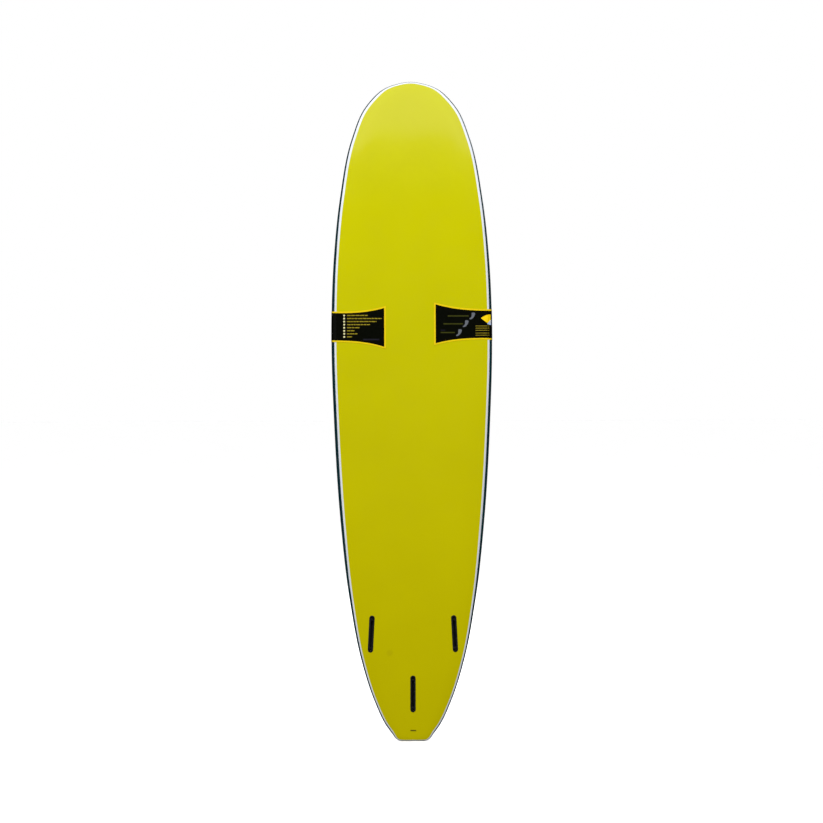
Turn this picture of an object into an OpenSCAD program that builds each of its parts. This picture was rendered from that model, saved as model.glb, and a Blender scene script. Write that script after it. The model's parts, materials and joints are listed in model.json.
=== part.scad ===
// Soft-top longboard, stood on its tail: +Z runs from tail to nose, the slick bottom faces -Y,
// the deck faces +Y, and the origin is at the middle of the tail's end. All sizes are millimetres.
//
// Every skin and the core are lofted over the same stations. A station is a half section that runs
// from the spine (the centreline) out to a point of the outline and back, and the stations fan out
// round the nose and the tail. The layers share the rings between them, so they meet face to face.

/* [Board] */
// Length from tail to nose
board_l = 2438; // [2300:1:2600]
// Width at the widest point
board_w = 591; // [560:1:640]
// Thickness in the middle
board_t = 83; // [80:1:92]
// Thickness at the nose and at the tail
end_t = 30; // [29:1:36]
// Height that the nose curves up from the flattest stretch
nose_rocker = 115; // [80:1:140]
// Height that the tail curves up from the flattest stretch
tail_rocker = 45; // [30:1:60]
// Extra height of the deck's middle over its sides
deck_crown = 7; // [4:0.5:10]

/* [Rails] */
// Width of the deck's roll down to the rail
rail_roll = 80; // [60:1:100]
// Height of the rail's widest line, as a part of the thickness
rail_apex = 0.42; // [0.38:0.01:0.5]
// Width of deck skin seen from below, at mid length
seam_outer = 10.5; // [9:0.5:13]
// Distance from the outline to the edge of the slick bottom, at mid length
seam_inner = 18; // [17:0.5:23]
// Height of the seam's outer edge over the bottom
seam_rise = 5; // [4:0.5:6]

/* [Layers] */
// Thickness of the foam deck skin
deck_skin_t = 5; // [4:0.5:6]
// Thickness of the slick bottom sheet
slick_t = 1.5; // [1:0.1:2]
// Thickness of the foam sheet behind the slick bottom
liner_t = 3; // [2.5:0.1:3.5]
// Thickness of a plywood stringer
stringer_t = 5; // [3:0.5:6]
// Distance of the side stringers from the centreline
stringer_x = 115; // [100:1:120]
// Distance that the side stringers stop short of the tail
stringer_tail_gap = 170; // [150:5:220]
// Distance that the side stringers stop short of the nose
stringer_nose_gap = 110; // [100:5:160]

/* [Fin boxes] */
// Length of a fin box's flange
box_l = 137; // [132:1:140]
// Width of a fin box's flange
box_w = 20; // [19:0.5:21]
// Thickness of the flange
flange_t = 2.5; // [2:0.1:3]
// Height of the flange's face over the bottom
box_proud = 0.5; // [0.4:0.1:0.8]
// Depth of a fin box under the bottom
box_depth = 18; // [18:0.5:19]
// Length of the slot for a fin's tab
slot_l = 100; // [90:1:102]
// Width of the slot
slot_w = 7; // [6.4:0.1:7.4]
// Depth of the slot under the bottom
slot_depth = 15; // [13:0.5:15.5]
// Distance of a side box from the centreline
side_box_x = 153; // [150:1:160]
// Height of a side box's middle over the tail
side_box_z = 398; // [380:1:420]
// Turn of a side box towards the nose's centre, in degrees
side_box_toe = 3; // [1.5:0.1:3.5]
// Height of the centre box's middle over the tail
centre_box_z = 176; // [172:1:190]
// Length of the hard foam block round a box
block_l = 152; // [148:1:156]
// Width of the block
block_w = 40; // [36:1:42]
// Depth of the block under the bottom
block_depth = 29; // [28.5:0.1:30]

/* [Fin screws] */
// Distance of each screw from its box's middle
screw_y = 58.5; // [58:0.1:60]
// Diameter of the screw's head
screw_head_d = 8.6; // [8:0.1:8.8]
// Diameter of the screw's shank
screw_d = 5; // [4:0.5:5]
// Depth of the head's top under the bottom
screw_sink = 0.8; // [0.5:0.1:1.2]
// Height of the head
screw_head_t = 3.2; // [3:0.1:3.4]
// Length of the shank
screw_l = 20; // [18:0.5:21]
// Length of the threaded insert under the box
insert_l = 10; // [8:0.5:10]
// Outer diameter of the insert
insert_d = 8; // [7.5:0.1:9]

/* [Leash cup] */
// Height of the cup's middle over the tail
leash_z = 72; // [70:1:73]
// Diameter of the cup's flange
leash_flange_d = 36; // [34:0.5:38]
// Thickness of the flange
leash_flange_t = 2.5; // [2:0.1:3]
// Diameter of the cup's body
leash_body_d = 30; // [28:0.5:31]
// Depth of the cup's body
leash_body_depth = 20; // [19:0.5:20]
// Diameter of the hollow
leash_hollow_d = 24; // [22:0.5:25]
// Depth of the hollow
leash_hollow_depth = 17; // [16:0.5:17]
// Diameter of the cross pin
leash_pin_d = 4; // [3:0.5:4]
// Depth of the cross pin's axis
leash_pin_depth = 5; // [4.5:0.5:6]
// Side of the square foam block round the cup
leash_block_side = 40; // [38:1:41]
// Depth of the foam block under the deck
leash_block_depth = 24; // [23:0.5:24.5]

/* [Belly band] */
// Thickness of the printed band
band_t = 0.5; // [0.4:0.1:0.8]
// Gap between the band and the skins
band_gap = 0.3; // [0.25:0.05:0.5]
// Height of the band's middle over the tail
band_z = 1529; // [1480:1:1580]
// Half the band's width where it passes the rails and the deck
band_half_rail = 56; // [45:1:60]
// Half the band's width at its two ends on the bottom
band_half_end = 79; // [65:1:88]
// Distance of the left end from the centreline
band_end_left = 96; // [80:1:120]
// Distance of the right end from the centreline
band_end_right = 81; // [75:1:120]
// How much higher the band's right end sits than its left end
band_skew = 13; // [0:1:16]

/* [Hidden] */

// Half outline of a board 2438 long and 591 wide, from the middle of the tail to the tip of the
// nose: distance from the centreline, height over the tail
OUTLINE_L = 2438;
OUTLINE_W = 591;
OUTLINE = [
    [0, 0], [37, 0.7], [54, 3.5], [64, 11], [75.4, 26], [98, 57], [141.5, 149], [188.5, 297],
    [231, 519], [264.5, 815], [287, 1180], [295.5, 1500], [286, 1778], [263, 2000],
    [219, 2222], [168, 2342], [94, 2414], [48, 2430.5], [0, 2438]
];
// Longest step between two stations
STATION_STEP = 62;
// Where the bottom is flattest, as a part of the length
FLAT_AT = 0.43;
// Where the board is thickest, as a part of the length
THICK_AT = 0.51;
NOSE_ROCKER_POWER = 2.6;
TAIL_ROCKER_POWER = 2.3;
FOIL_POWER = 2.4;
// Both edges of the seam come closer to the outline over this length at each end, down to these
// parts of their distance in the middle
SEAM_EASE = 1000;
SEAM_OUTER_END = 0.42;
SEAM_INNER_TAIL = 0.5;
SEAM_INNER_NOSE = 0.72;
// They slim once more, to this part of that, over these lengths next to the tail's and the nose's end
SEAM_TIP = 0.55;
SEAM_TIP_TAIL = 40;
SEAM_TIP_NOSE = 60;
// How far the core's corners by the seam lie further in, as a part of the deck skin's thickness
CORE_SEAM_SHARE = 0.8;
// How far the spine stops short of the tail and the nose, and how softly
SPINE_TAIL_GAP = 45;
SPINE_TAIL_EASE = 110;
SPINE_NOSE_GAP = 120;
SPINE_NOSE_EASE = 260;
SPINE_SPREAD = 0.4;
SPINE_SPREAD_EASE = 80;

SLOT_FN = 48;
ROUND_FN = 64;
EPS = 0.01;
// How far a cutter sticks out of what it cuts
OVERSHOOT = 1;
// Running clearance of a screw in its insert, and of its shank and head in the box
INSERT_CLEARANCE = 0.05;
SHANK_CLEARANCE = 0.2;
HEAD_CLEARANCE = 0.4;
HEAD_SEAT_GAP = 0.1;
// The body of a fin box is this much narrower and shorter than its flange
BOX_STEP = 6;
SOCKET_ACROSS = 4;
SOCKET_DEPTH = 2;
BLOCK_CORNER = 8;
// The leash cup's cross pin is this much shorter than the cup's body is wide
LEASH_PIN_SHORT = 1;

FINS = [
    [-side_box_x, side_box_z, -side_box_toe],
    [side_box_x, side_box_z, side_box_toe],
    [0, centre_box_z, 0]
];
LEFT = 0;
RIGHT = 1;
CENTRE = 2;
FRONT = 1;
REAR = -1;

YELLOW = [0.77, 0.74, 0.02];
PETROL = [0.05, 0.20, 0.23];
SEAM_WHITE = [0.88, 0.90, 0.94];
FOAM_WHITE = [0.95, 0.95, 0.93];
LINER_WHITE = [0.90, 0.90, 0.88];
PLY = [0.76, 0.60, 0.40];
BLOCK_GREY = [0.55, 0.56, 0.58];
NYLON = [0.06, 0.06, 0.06];
BRASS = [0.75, 0.60, 0.25];
STEEL = [0.65, 0.66, 0.68];
PRINT_BLACK = [0.05, 0.05, 0.03];

// ---- The outline, as one smooth curve through its points ----

POINTS = [for (p = OUTLINE) [p[0] * board_w / OUTLINE_W, p[1] * board_l / OUTLINE_L]];
LAST = len(POINTS) - 1;

function chord(i) = norm(POINTS[i + 1] - POINTS[i]);

// Direction of the outline at a point; it runs square across the centreline at both ends
function tangent(i) =
    i == 0 ? [1, 0]
    : i == LAST ? [-1, 0]
    : let (before = chord(i - 1), after = chord(i))
        ((POINTS[i] - POINTS[i - 1]) * after / before
            + (POINTS[i + 1] - POINTS[i]) * before / after) / (before + after);

function on_span(i, t) =
    (2 * pow(t, 3) - 3 * pow(t, 2) + 1) * POINTS[i]
    + (pow(t, 3) - 2 * pow(t, 2) + t) * chord(i) * tangent(i)
    + (3 * pow(t, 2) - 2 * pow(t, 3)) * POINTS[i + 1]
    + (pow(t, 3) - pow(t, 2)) * chord(i) * tangent(i + 1);

function steps_on(i) = max(2, ceil(chord(i) / STATION_STEP));

EDGE = concat(
    [for (i = [0 : LAST - 1], k = [0 : steps_on(i) - 1]) on_span(i, k / steps_on(i))],
    [POINTS[LAST]]
);
N = len(EDGE) - 1;

// Half width of the board at a height over the tail
HALF_WIDTHS = [for (p = EDGE) [p[1], p[0]]];
function half_width(z) = lookup(z, HALF_WIDTHS);

// ---- Rocker, foil and seam ----

FLAT_Z = FLAT_AT * board_l;
THICK_Z = THICK_AT * board_l;

function rocker(z) =
    z < FLAT_Z
    ? tail_rocker * pow((FLAT_Z - z) / FLAT_Z, TAIL_ROCKER_POWER)
    : nose_rocker * pow((z - FLAT_Z) / (board_l - FLAT_Z), NOSE_ROCKER_POWER);

function thickness(z) =
    let (run = z < THICK_Z ? THICK_Z : board_l - THICK_Z)
    board_t - (board_t - end_t) * pow(abs(z - THICK_Z) / run, FOIL_POWER);

// The middle of the tail's end is at y = 0
DATUM_Y = rocker(0) + thickness(0) / 2;
function bottom_y(z) = rocker(z) - DATUM_Y;
function deck_y(z) = bottom_y(z) + thickness(z);

// Lean of the bottom at a height over the tail, which only the tail's fin boxes use
function tail_lean(z) =
    atan(TAIL_ROCKER_POWER * tail_rocker / FLAT_Z
        * pow((FLAT_Z - z) / FLAT_Z, TAIL_ROCKER_POWER - 1));

// From a share at the tail's and the nose's end to 1 beyond these runs from them
function grown(z, share, tail_run, nose_run) =
    share + (1 - share) * (1 - cos(180 * min(1, z / tail_run, (board_l - z) / nose_run))) / 2;
function seam_tip(z) = grown(z, SEAM_TIP, SEAM_TIP_TAIL, SEAM_TIP_NOSE);
function outer_scale(z) = seam_tip(z) * grown(z, SEAM_OUTER_END, SEAM_EASE, SEAM_EASE);
function inner_scale(z) =
    seam_tip(z) * grown(z, z < board_l / 2 ? SEAM_INNER_TAIL : SEAM_INNER_NOSE, SEAM_EASE, SEAM_EASE);

// ---- Stations ----

function end_distance(x, run) = run + SPINE_SPREAD * x * exp(-run / SPINE_SPREAD_EASE);

// The spine's height for a point of the outline
function spine_z(p) =
    let (
        tail_run = end_distance(p[0], p[1]),
        nose_run = end_distance(p[0], board_l - p[1]),
        from_tail = tail_run - p[1] + SPINE_TAIL_GAP * exp(-tail_run / SPINE_TAIL_EASE),
        from_nose = nose_run - (board_l - p[1]) + SPINE_NOSE_GAP * exp(-nose_run / SPINE_NOSE_EASE)
    )
    p[1] + from_tail - from_nose;

SPINE = [for (p = EDGE) [0, spine_z(p)]];

// Ring numbers on the outside: bottom at the spine, edge of the slick, seam, two on the lower
// rail, the rail's widest line, four up the roll, one on the deck, deck at the spine
SLICK_EDGE = 1;
SEAM = 2;
APEX = 5;
ROLL_END = 9;
DECK_RING = 10;
DECK_SPINE = 11;
// The core has the same rings, and the sheet between slick and liner has two
CORE = 20;
SHEET = 40;
LOWER_ANGLES = [0, 35, 65];
ROLL_ANGLES = [0, 25, 50, 70, 90];
DECK_RING_AT = 0.45;

// A point at distance d in from the outline along a station
function along(i, d) = EDGE[i] + (SPINE[i] - EDGE[i]) * d / norm(SPINE[i] - EDGE[i]);
function lift(p, h) = [p[0], bottom_y(p[1]) + h, p[1]];

// A point of a ring. inset is how far in the rail is, and base and top how far in the bottom and
// the deck are; the outside has no inset
function ring(i, n, inset, base, top) =
    let (
        full = norm(SPINE[i] - EDGE[i]),
        roll = full * rail_roll / (full + rail_roll),
        outer = outer_scale(EDGE[i][1]),
        inner = inner_scale(EDGE[i][1]),
        extra = CORE_SEAM_SHARE * inset,
        seam_d = seam_outer * outer + extra,
        seam_h = seam_rise * outer + extra
    )
    n == 0 ? lift(SPINE[i], base)
    : n == SLICK_EDGE ? lift(along(i, seam_inner * inner + extra * (1 - inner)), base)
    : n < APEX
    ? let (
        a = LOWER_ANGLES[n - SEAM],
        p = along(i, inset + (seam_d - inset) * (1 - sin(a))),
        apex_h = rail_apex * thickness(p[1])
    )
    lift(p, apex_h - (apex_h - seam_h) * cos(a))
    : n <= ROLL_END
    ? let (
        a = ROLL_ANGLES[n - APEX],
        d = inset + (roll - inset) * (1 - cos(a)),
        p = along(i, d),
        apex_h = rail_apex * thickness(p[1])
    )
    lift(p, apex_h + (deck_h(p[1], d / full) - top - apex_h) * sin(a))
    : n == DECK_RING
    ? let (d = roll + (full - roll) * DECK_RING_AT, p = along(i, d))
    lift(p, deck_h(p[1], d / full) - top)
    : lift(SPINE[i], thickness(SPINE[i][1]) - top);

// Height of the deck over the bottom, at a part of the way from the rail to the spine
function deck_h(z, part) = thickness(z) * (1 - deck_crown / board_t * pow(1 - part, 2));

BASE_T = slick_t + liner_t;
function ring_point(i, id) =
    id >= SHEET ? sheet_point(i, id - SHEET)
    : id >= CORE ? ring(i, id - CORE, deck_skin_t, BASE_T, deck_skin_t)
    : ring(i, id, 0, 0, 0);

// The sheet's rings divide the straight lines between the outside's and the core's
function sheet_point(i, n) =
    let (low = ring_point(i, n), high = ring_point(i, CORE + n))
    low + (high - low) * slick_t / BASE_T;

function is_spine(id) = id == 0 || id == DECK_SPINE || id == CORE || id == CORE + DECK_SPINE
    || id == SHEET;

// How far out a ring is from the spine, counted in rings
function reach(id) = let (n = id % CORE) n <= APEX ? n : 2 * APEX - n;
function is_nearer(a, b) = reach(a) < reach(b) || (reach(a) == reach(b) && a < b);

// Two triangles between stations i and i + 1 and rings a and b, cut along the same diagonal in
// every layer: it leaves the spine towards the nose in the tail's half and towards the tail in the
// nose's half. v holds the places of the points (i, a), (i, b), (i + 1, a) and (i + 1, b)
function facet(i, v, a, b) =
    is_nearer(a, b) == (i < N / 2)
    ? [[v[0], v[2], v[3]], [v[0], v[3], v[1]]]
    : [[v[0], v[2], v[1]], [v[2], v[3], v[1]]];

function flipped(face) = [face[2], face[1], face[0]];

// A layer that crosses the spine: both halves, joined along the spine and at the two ends
module layer(loop) {
    m = len(loop);
    right = [for (i = [0 : N], id = loop) ring_point(i, id)];
    left = [for (i = [1 : N - 1], id = loop) let (p = ring_point(i, id)) [-p[0], p[1], p[2]]];
    right_faces = [
        for (i = [0 : N - 1], j = [0 : m - 1])
            let (k = (j + 1) % m)
            if (!(is_spine(loop[j]) && is_spine(loop[k])))
                for (f = facet(i, [i * m + j, i * m + k, (i + 1) * m + j, (i + 1) * m + k],
                               loop[j], loop[k])) f
    ];
    left_faces = [for (f = right_faces) flipped([for (v = f) left_index(v, m, loop)])];
    polyhedron(concat(right, left), concat(right_faces, left_faces));
}

// Where the left half's copy of a point is. Points of the spine and the two ends are shared
function left_index(v, m, loop) =
    let (i = floor(v / m), j = v % m)
    i == 0 || i == N || is_spine(loop[j]) ? v : (N + 1) * m + (i - 1) * m + j;

// The right half of a layer that keeps clear of the spine, closed at the tail and the nose
module half_layer(loop) {
    m = len(loop);
    points = [for (i = [0 : N], id = loop) ring_point(i, id)];
    sides = [
        for (i = [0 : N - 1], j = [0 : m - 1])
            let (k = (j + 1) % m)
            for (f = facet(i, [i * m + j, i * m + k, (i + 1) * m + j, (i + 1) * m + k],
                           loop[j], loop[k])) f
    ];
    ends = [
        for (j = [2 : m - 1])
            let (face = [1, j, (j + 1) % m])
            for (f = [face, flipped([for (v = face) N * m + v])]) f
    ];
    polyhedron(points, concat(sides, ends));
}

module core_solid() {
    layer([for (n = [0 : DECK_SPINE]) CORE + n]);
}

// ---- Places and cutters ----

// A fin box's own place: +Z out of the bottom, +Y towards the nose, the bottom at z = 0
module at_fin(fin) {
    place = FINS[fin];
    translate([place[0], bottom_y(place[1]), place[1]])
        rotate([90 + tail_lean(place[1]), 0, 0])
            rotate([0, 0, place[2]])
                children();
}

// The leash cup's own place: +Z out of the deck
module at_leash() {
    translate([0, deck_y(leash_z), leash_z])
        rotate([-90, 0, 0])
            children();
}

module stadium(length, width) {
    square([width, length - width], center = true);
    for (side = [FRONT, REAR])
        translate([0, side * (length - width) / 2])
            circle(d = width, $fn = SLOT_FN);
}

// A straight round-ended prism from one depth to another, as heights over the bottom
module prism(length, width, low, high) {
    translate([0, 0, low])
        linear_extrude(high - low)
            stadium(length, width);
}

module box_cutter(fin) {
    at_fin(fin) {
        prism(box_l, box_w, -flange_t, box_depth);
        prism(box_l - BOX_STEP, box_w - BOX_STEP, -box_depth, 0);
    }
}

module box_cutters() {
    for (fin = [LEFT, RIGHT, CENTRE])
        box_cutter(fin);
}

module rounded_rectangle(length, width) {
    for (x = [-1, 1], y = [-1, 1])
        translate([x * (width / 2 - BLOCK_CORNER), y * (length / 2 - BLOCK_CORNER)])
            circle(r = BLOCK_CORNER, $fn = SLOT_FN);
    square([width, length - 2 * BLOCK_CORNER], center = true);
    square([width - 2 * BLOCK_CORNER, length], center = true);
}

module fin_block_space(fin) {
    at_fin(fin)
        translate([0, 0, -block_depth])
            linear_extrude(2 * block_depth)
                rounded_rectangle(block_l, block_w);
}

module leash_block_space() {
    at_leash()
        translate([0, 0, -leash_block_depth])
            linear_extrude(2 * leash_block_depth)
                rounded_rectangle(leash_block_side, leash_block_side);
}

module leash_cutter() {
    at_leash() {
        translate([0, 0, -leash_flange_t])
            cylinder(d = leash_flange_d, h = leash_body_depth, $fn = ROUND_FN);
        translate([0, 0, -leash_body_depth])
            cylinder(d = leash_body_d, h = leash_body_depth, $fn = ROUND_FN);
    }
}

// A slab of the board between two distances from the centreline
module slab(x_low, x_high, z_low, z_high) {
    translate([x_low, -board_l, z_low])
        cube([x_high - x_low, 2 * board_l, z_high - z_low]);
}

module stringer_slab(x, z_low, z_high) {
    slab(x - stringer_t / 2, x + stringer_t / 2, z_low, z_high);
}

module side_stringer_slab(side) {
    stringer_slab(side * stringer_x, stringer_tail_gap, board_l - stringer_nose_gap);
}

module centre_stringer_slab() {
    stringer_slab(0, -board_l, 2 * board_l);
}

// ---- Core and stringers ----

module core_strip(x_low, x_high, side) {
    color(FOAM_WHITE)
        difference() {
            intersection() {
                core_solid();
                slab(x_low, x_high, -board_l, 2 * board_l);
            }
            side_stringer_slab(side);
            fin_block_space(side < 0 ? LEFT : RIGHT);
            fin_block_space(CENTRE);
            leash_block_space();
        }
}

module core_left_outer() { core_strip(-board_w, -stringer_x, -1); }
module core_left_inner() { core_strip(-stringer_x, -stringer_t / 2, -1); }
module core_right_inner() { core_strip(stringer_t / 2, stringer_x, 1); }
module core_right_outer() { core_strip(stringer_x, board_w, 1); }

module side_stringer(side) {
    color(PLY)
        intersection() {
            core_solid();
            side_stringer_slab(side);
        }
}

module stringer_left() { side_stringer(-1); }
module stringer_right() { side_stringer(1); }

module stringer_centre() {
    color(PLY)
        difference() {
            intersection() {
                core_solid();
                centre_stringer_slab();
            }
            fin_block_space(CENTRE);
            leash_block_space();
        }
}

// ---- Skins ----

module bottom_liner() {
    color(LINER_WHITE)
        difference() {
            layer([SHEET, SHEET + SLICK_EDGE, CORE + SLICK_EDGE, CORE]);
            box_cutters();
        }
}

module bottom_skin() {
    color(YELLOW)
        difference() {
            layer([0, SLICK_EDGE, SHEET + SLICK_EDGE, SHEET]);
            box_cutters();
        }
}

module seam_strip_right() {
    color(SEAM_WHITE)
        half_layer([SLICK_EDGE, SEAM, CORE + SEAM, CORE + SLICK_EDGE, SHEET + SLICK_EDGE]);
}

module seam_strip_left() {
    mirror([1, 0, 0])
        seam_strip_right();
}

module deck_skin() {
    color(PETROL)
        difference() {
            layer(concat(
                [for (n = [SEAM : DECK_SPINE]) n],
                [for (n = [DECK_SPINE : -1 : SEAM]) CORE + n]
            ));
            leash_cutter();
        }
}

// ---- Fin boxes ----

module fin_block(fin) {
    color(BLOCK_GREY)
        difference() {
            intersection() {
                core_solid();
                fin_block_space(fin);
            }
            box_cutter(fin);
            insert_shapes(fin);
        }
}

module fin_block_left() { fin_block(LEFT); }
module fin_block_right() { fin_block(RIGHT); }
module fin_block_centre() { fin_block(CENTRE); }

module fin_box(fin) {
    color(NYLON)
        at_fin(fin)
            difference() {
                union() {
                    prism(box_l, box_w, -flange_t, box_proud);
                    prism(box_l - BOX_STEP, box_w - BOX_STEP, -box_depth, -flange_t);
                }
                prism(slot_l, slot_w, -slot_depth, OVERSHOOT);
                for (end = [FRONT, REAR])
                    translate([0, end * screw_y, 0])
                        screw_hole();
            }
}

module screw_hole() {
    seat = screw_sink + screw_head_t + HEAD_SEAT_GAP;
    translate([0, 0, -seat])
        cylinder(d = screw_head_d + 2 * HEAD_CLEARANCE, h = 2 * seat, $fn = ROUND_FN);
    translate([0, 0, -2 * box_depth])
        cylinder(d = screw_d + 2 * SHANK_CLEARANCE, h = 2 * box_depth, $fn = ROUND_FN);
}

module fin_box_left() { fin_box(LEFT); }
module fin_box_right() { fin_box(RIGHT); }
module fin_box_centre() { fin_box(CENTRE); }

module insert_shapes(fin) {
    at_fin(fin)
        for (end = [FRONT, REAR])
            translate([0, end * screw_y, -box_depth - insert_l])
                cylinder(d = insert_d, h = insert_l, $fn = ROUND_FN);
}

module fin_inserts() {
    color(BRASS)
        for (fin = [LEFT, RIGHT, CENTRE])
            at_fin(fin)
                for (end = [FRONT, REAR])
                    translate([0, end * screw_y, -box_depth - insert_l])
                        insert_tube();
}

module insert_tube() {
    difference() {
        cylinder(d = insert_d, h = insert_l, $fn = ROUND_FN);
        translate([0, 0, -OVERSHOOT])
            cylinder(
                d = screw_d + 2 * INSERT_CLEARANCE,
                h = insert_l + 2 * OVERSHOOT,
                $fn = ROUND_FN
            );
    }
}

module fin_screw(fin, end) {
    color(STEEL)
        at_fin(fin)
            translate([0, end * screw_y, -screw_sink - screw_head_t])
                difference() {
                    union() {
                        cylinder(d = screw_head_d, h = screw_head_t, $fn = ROUND_FN);
                        translate([0, 0, -screw_l])
                            cylinder(d = screw_d, h = screw_l + EPS, $fn = ROUND_FN);
                    }
                    translate([0, 0, screw_head_t - SOCKET_DEPTH])
                        cylinder(
                            d = SOCKET_ACROSS / cos(30),
                            h = SOCKET_DEPTH + OVERSHOOT,
                            $fn = 6
                        );
                }
}

module fin_screw_left_front() { fin_screw(LEFT, FRONT); }
module fin_screw_left_rear() { fin_screw(LEFT, REAR); }
module fin_screw_right_front() { fin_screw(RIGHT, FRONT); }
module fin_screw_right_rear() { fin_screw(RIGHT, REAR); }
module fin_screw_centre_front() { fin_screw(CENTRE, FRONT); }
module fin_screw_centre_rear() { fin_screw(CENTRE, REAR); }

// ---- Leash cup ----

module leash_block() {
    color(BLOCK_GREY)
        difference() {
            intersection() {
                core_solid();
                leash_block_space();
            }
            leash_cutter();
        }
}

module leash_cup() {
    hollow_r = leash_hollow_d / 2;
    color(NYLON)
        at_leash()
            difference() {
                union() {
                    translate([0, 0, -leash_flange_t])
                        cylinder(d = leash_flange_d, h = leash_flange_t + box_proud, $fn = ROUND_FN);
                    translate([0, 0, -leash_body_depth])
                        cylinder(d = leash_body_d, h = leash_body_depth, $fn = ROUND_FN);
                }
                translate([0, 0, hollow_r - leash_hollow_depth]) {
                    sphere(d = leash_hollow_d, $fn = ROUND_FN);
                    cylinder(d = leash_hollow_d, h = leash_hollow_depth, $fn = ROUND_FN);
                }
                leash_pin_shape();
            }
}

module leash_pin_shape() {
    translate([0, 0, -leash_pin_depth])
        rotate([0, 90, 0])
            cylinder(d = leash_pin_d, h = leash_body_d - LEASH_PIN_SHORT, center = true, $fn = ROUND_FN);
}

module leash_pin() {
    color(STEEL)
        at_leash()
            leash_pin_shape();
}

// ---- Belly band ----

// The band is a thin sheet over the outside. Its columns run from the left end on the bottom,
// round the left rail, over the deck and round the right rail to the right end.
BAND_ROWS = 4;
BAND_END_COLUMNS = 5;
BAND_FLARE_POWER = 2.5;
// Where the deck's column stands between the spine and the rail
BAND_DECK_AT = 0.4;

// Half section of the outside at a height over the tail, grown outwards, from the slick's edge
// to the deck's middle: distance from the centreline, height over the bottom
function band_half_section(z, grow) =
    let (
        half = half_width(z),
        roll = half * rail_roll / (half + rail_roll),
        apex_h = rail_apex * thickness(z),
        seam_d = seam_outer * outer_scale(z),
        seam_h = seam_rise * outer_scale(z)
    )
    concat(
        [[half - seam_inner * inner_scale(z), -grow]],
        [for (a = LOWER_ANGLES)
            [half - seam_d * (1 - sin(a)) + grow * sin(a),
             apex_h - (apex_h - seam_h + grow) * cos(a)]],
        [for (a = ROLL_ANGLES)
            [half - roll * (1 - cos(a)) + grow * cos(a),
             apex_h + (deck_h(z, roll * (1 - cos(a)) / half) + grow - apex_h) * sin(a)]],
        [[half * BAND_DECK_AT, deck_h(z, 1 - BAND_DECK_AT) + grow]]
    );

function band_end_columns(z, grow, end) =
    let (edge = half_width(z) - seam_inner * inner_scale(z))
    [for (k = [0 : BAND_END_COLUMNS - 1]) [end + (edge - end) * k / BAND_END_COLUMNS, -grow]];

// All columns of the band at one height, left end first
function band_section(z, grow) =
    let (
        half = band_half_section(z, grow),
        left = concat(band_end_columns(z, grow, band_end_left), half),
        right = concat(band_end_columns(z, grow, band_end_right), half)
    )
    concat(
        [for (p = left) [-p[0], p[1]]],
        [[0, thickness(z) + grow]],
        [for (k = [len(right) - 1 : -1 : 0]) right[k]]
    );

BAND_COLUMNS = len(band_section(band_z, 0));

// Half the band's width and its middle at a column: it flares on the bottom towards its ends
function band_flare(k) =
    let (from_end = min(k, BAND_COLUMNS - 1 - k), part = max(0, 1 - from_end / BAND_END_COLUMNS))
    band_half_rail + (band_half_end - band_half_rail) * pow(part, BAND_FLARE_POWER);
function band_middle(k) = band_z + band_skew * (k / (BAND_COLUMNS - 1) - 0.5);
function band_height(k, row) = band_middle(k) + band_flare(k) * (2 * row / BAND_ROWS - 1);

function band_point(k, row, grow) =
    let (z = band_height(k, row), p = band_section(z, grow)[k])
    [p[0], bottom_y(z) + p[1], z];

module belly_band() {
    rows = BAND_ROWS + 1;
    inner = [for (k = [0 : BAND_COLUMNS - 1], r = [0 : BAND_ROWS]) band_point(k, r, band_gap)];
    outer = [for (k = [0 : BAND_COLUMNS - 1], r = [0 : BAND_ROWS])
        band_point(k, r, band_gap + band_t)];
    out = len(inner);
    last = (BAND_COLUMNS - 1) * rows;
    faces = concat(
        [for (k = [0 : BAND_COLUMNS - 2], r = [0 : BAND_ROWS - 1])
            let (a = k * rows + r, b = a + rows)
            for (f = [[a, b + 1, b], [a, a + 1, b + 1]]) f],
        [for (k = [0 : BAND_COLUMNS - 2], r = [0 : BAND_ROWS - 1])
            let (a = out + k * rows + r, b = a + rows)
            for (f = [[a, b, b + 1], [a, b + 1, a + 1]]) f],
        [for (k = [0 : BAND_COLUMNS - 2], top = [false, true])
            let (a = k * rows + (top ? BAND_ROWS : 0), b = a + rows)
            top ? [a, out + a, out + b, b] : [a, b, out + b, out + a]],
        [for (r = [0 : BAND_ROWS - 1]) [r, out + r, out + r + 1, r + 1]],
        [for (r = [0 : BAND_ROWS - 1])
            [last + r, last + r + 1, out + last + r + 1, out + last + r]]
    );
    color(PRINT_BLACK)
        polyhedron(concat(inner, outer), faces);
}

core_left_outer();
core_left_inner();
core_right_inner();
core_right_outer();
stringer_left();
stringer_centre();
stringer_right();
bottom_liner();
bottom_skin();
seam_strip_left();
seam_strip_right();
deck_skin();
fin_block_left();
fin_block_right();
fin_block_centre();
fin_box_left();
fin_box_right();
fin_box_centre();
fin_inserts();
fin_screw_left_front();
fin_screw_left_rear();
fin_screw_right_front();
fin_screw_right_rear();
fin_screw_centre_front();
fin_screw_centre_rear();
leash_block();
leash_cup();
leash_pin();
belly_band();
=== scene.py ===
"""Looks of a soft-top longboard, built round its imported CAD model.

+Z runs from tail to nose, the slick bottom faces -Y and the deck faces +Y, in metres. The outline,
rocker, foil and rings are the CAD source's own functions at a finer step, so every piece here lies
where its CAD node does.
"""

import json
import math
import random

import bmesh
import bpy
from mathutils import Matrix, Vector
from mathutils.geometry import tessellate_polygon


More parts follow.
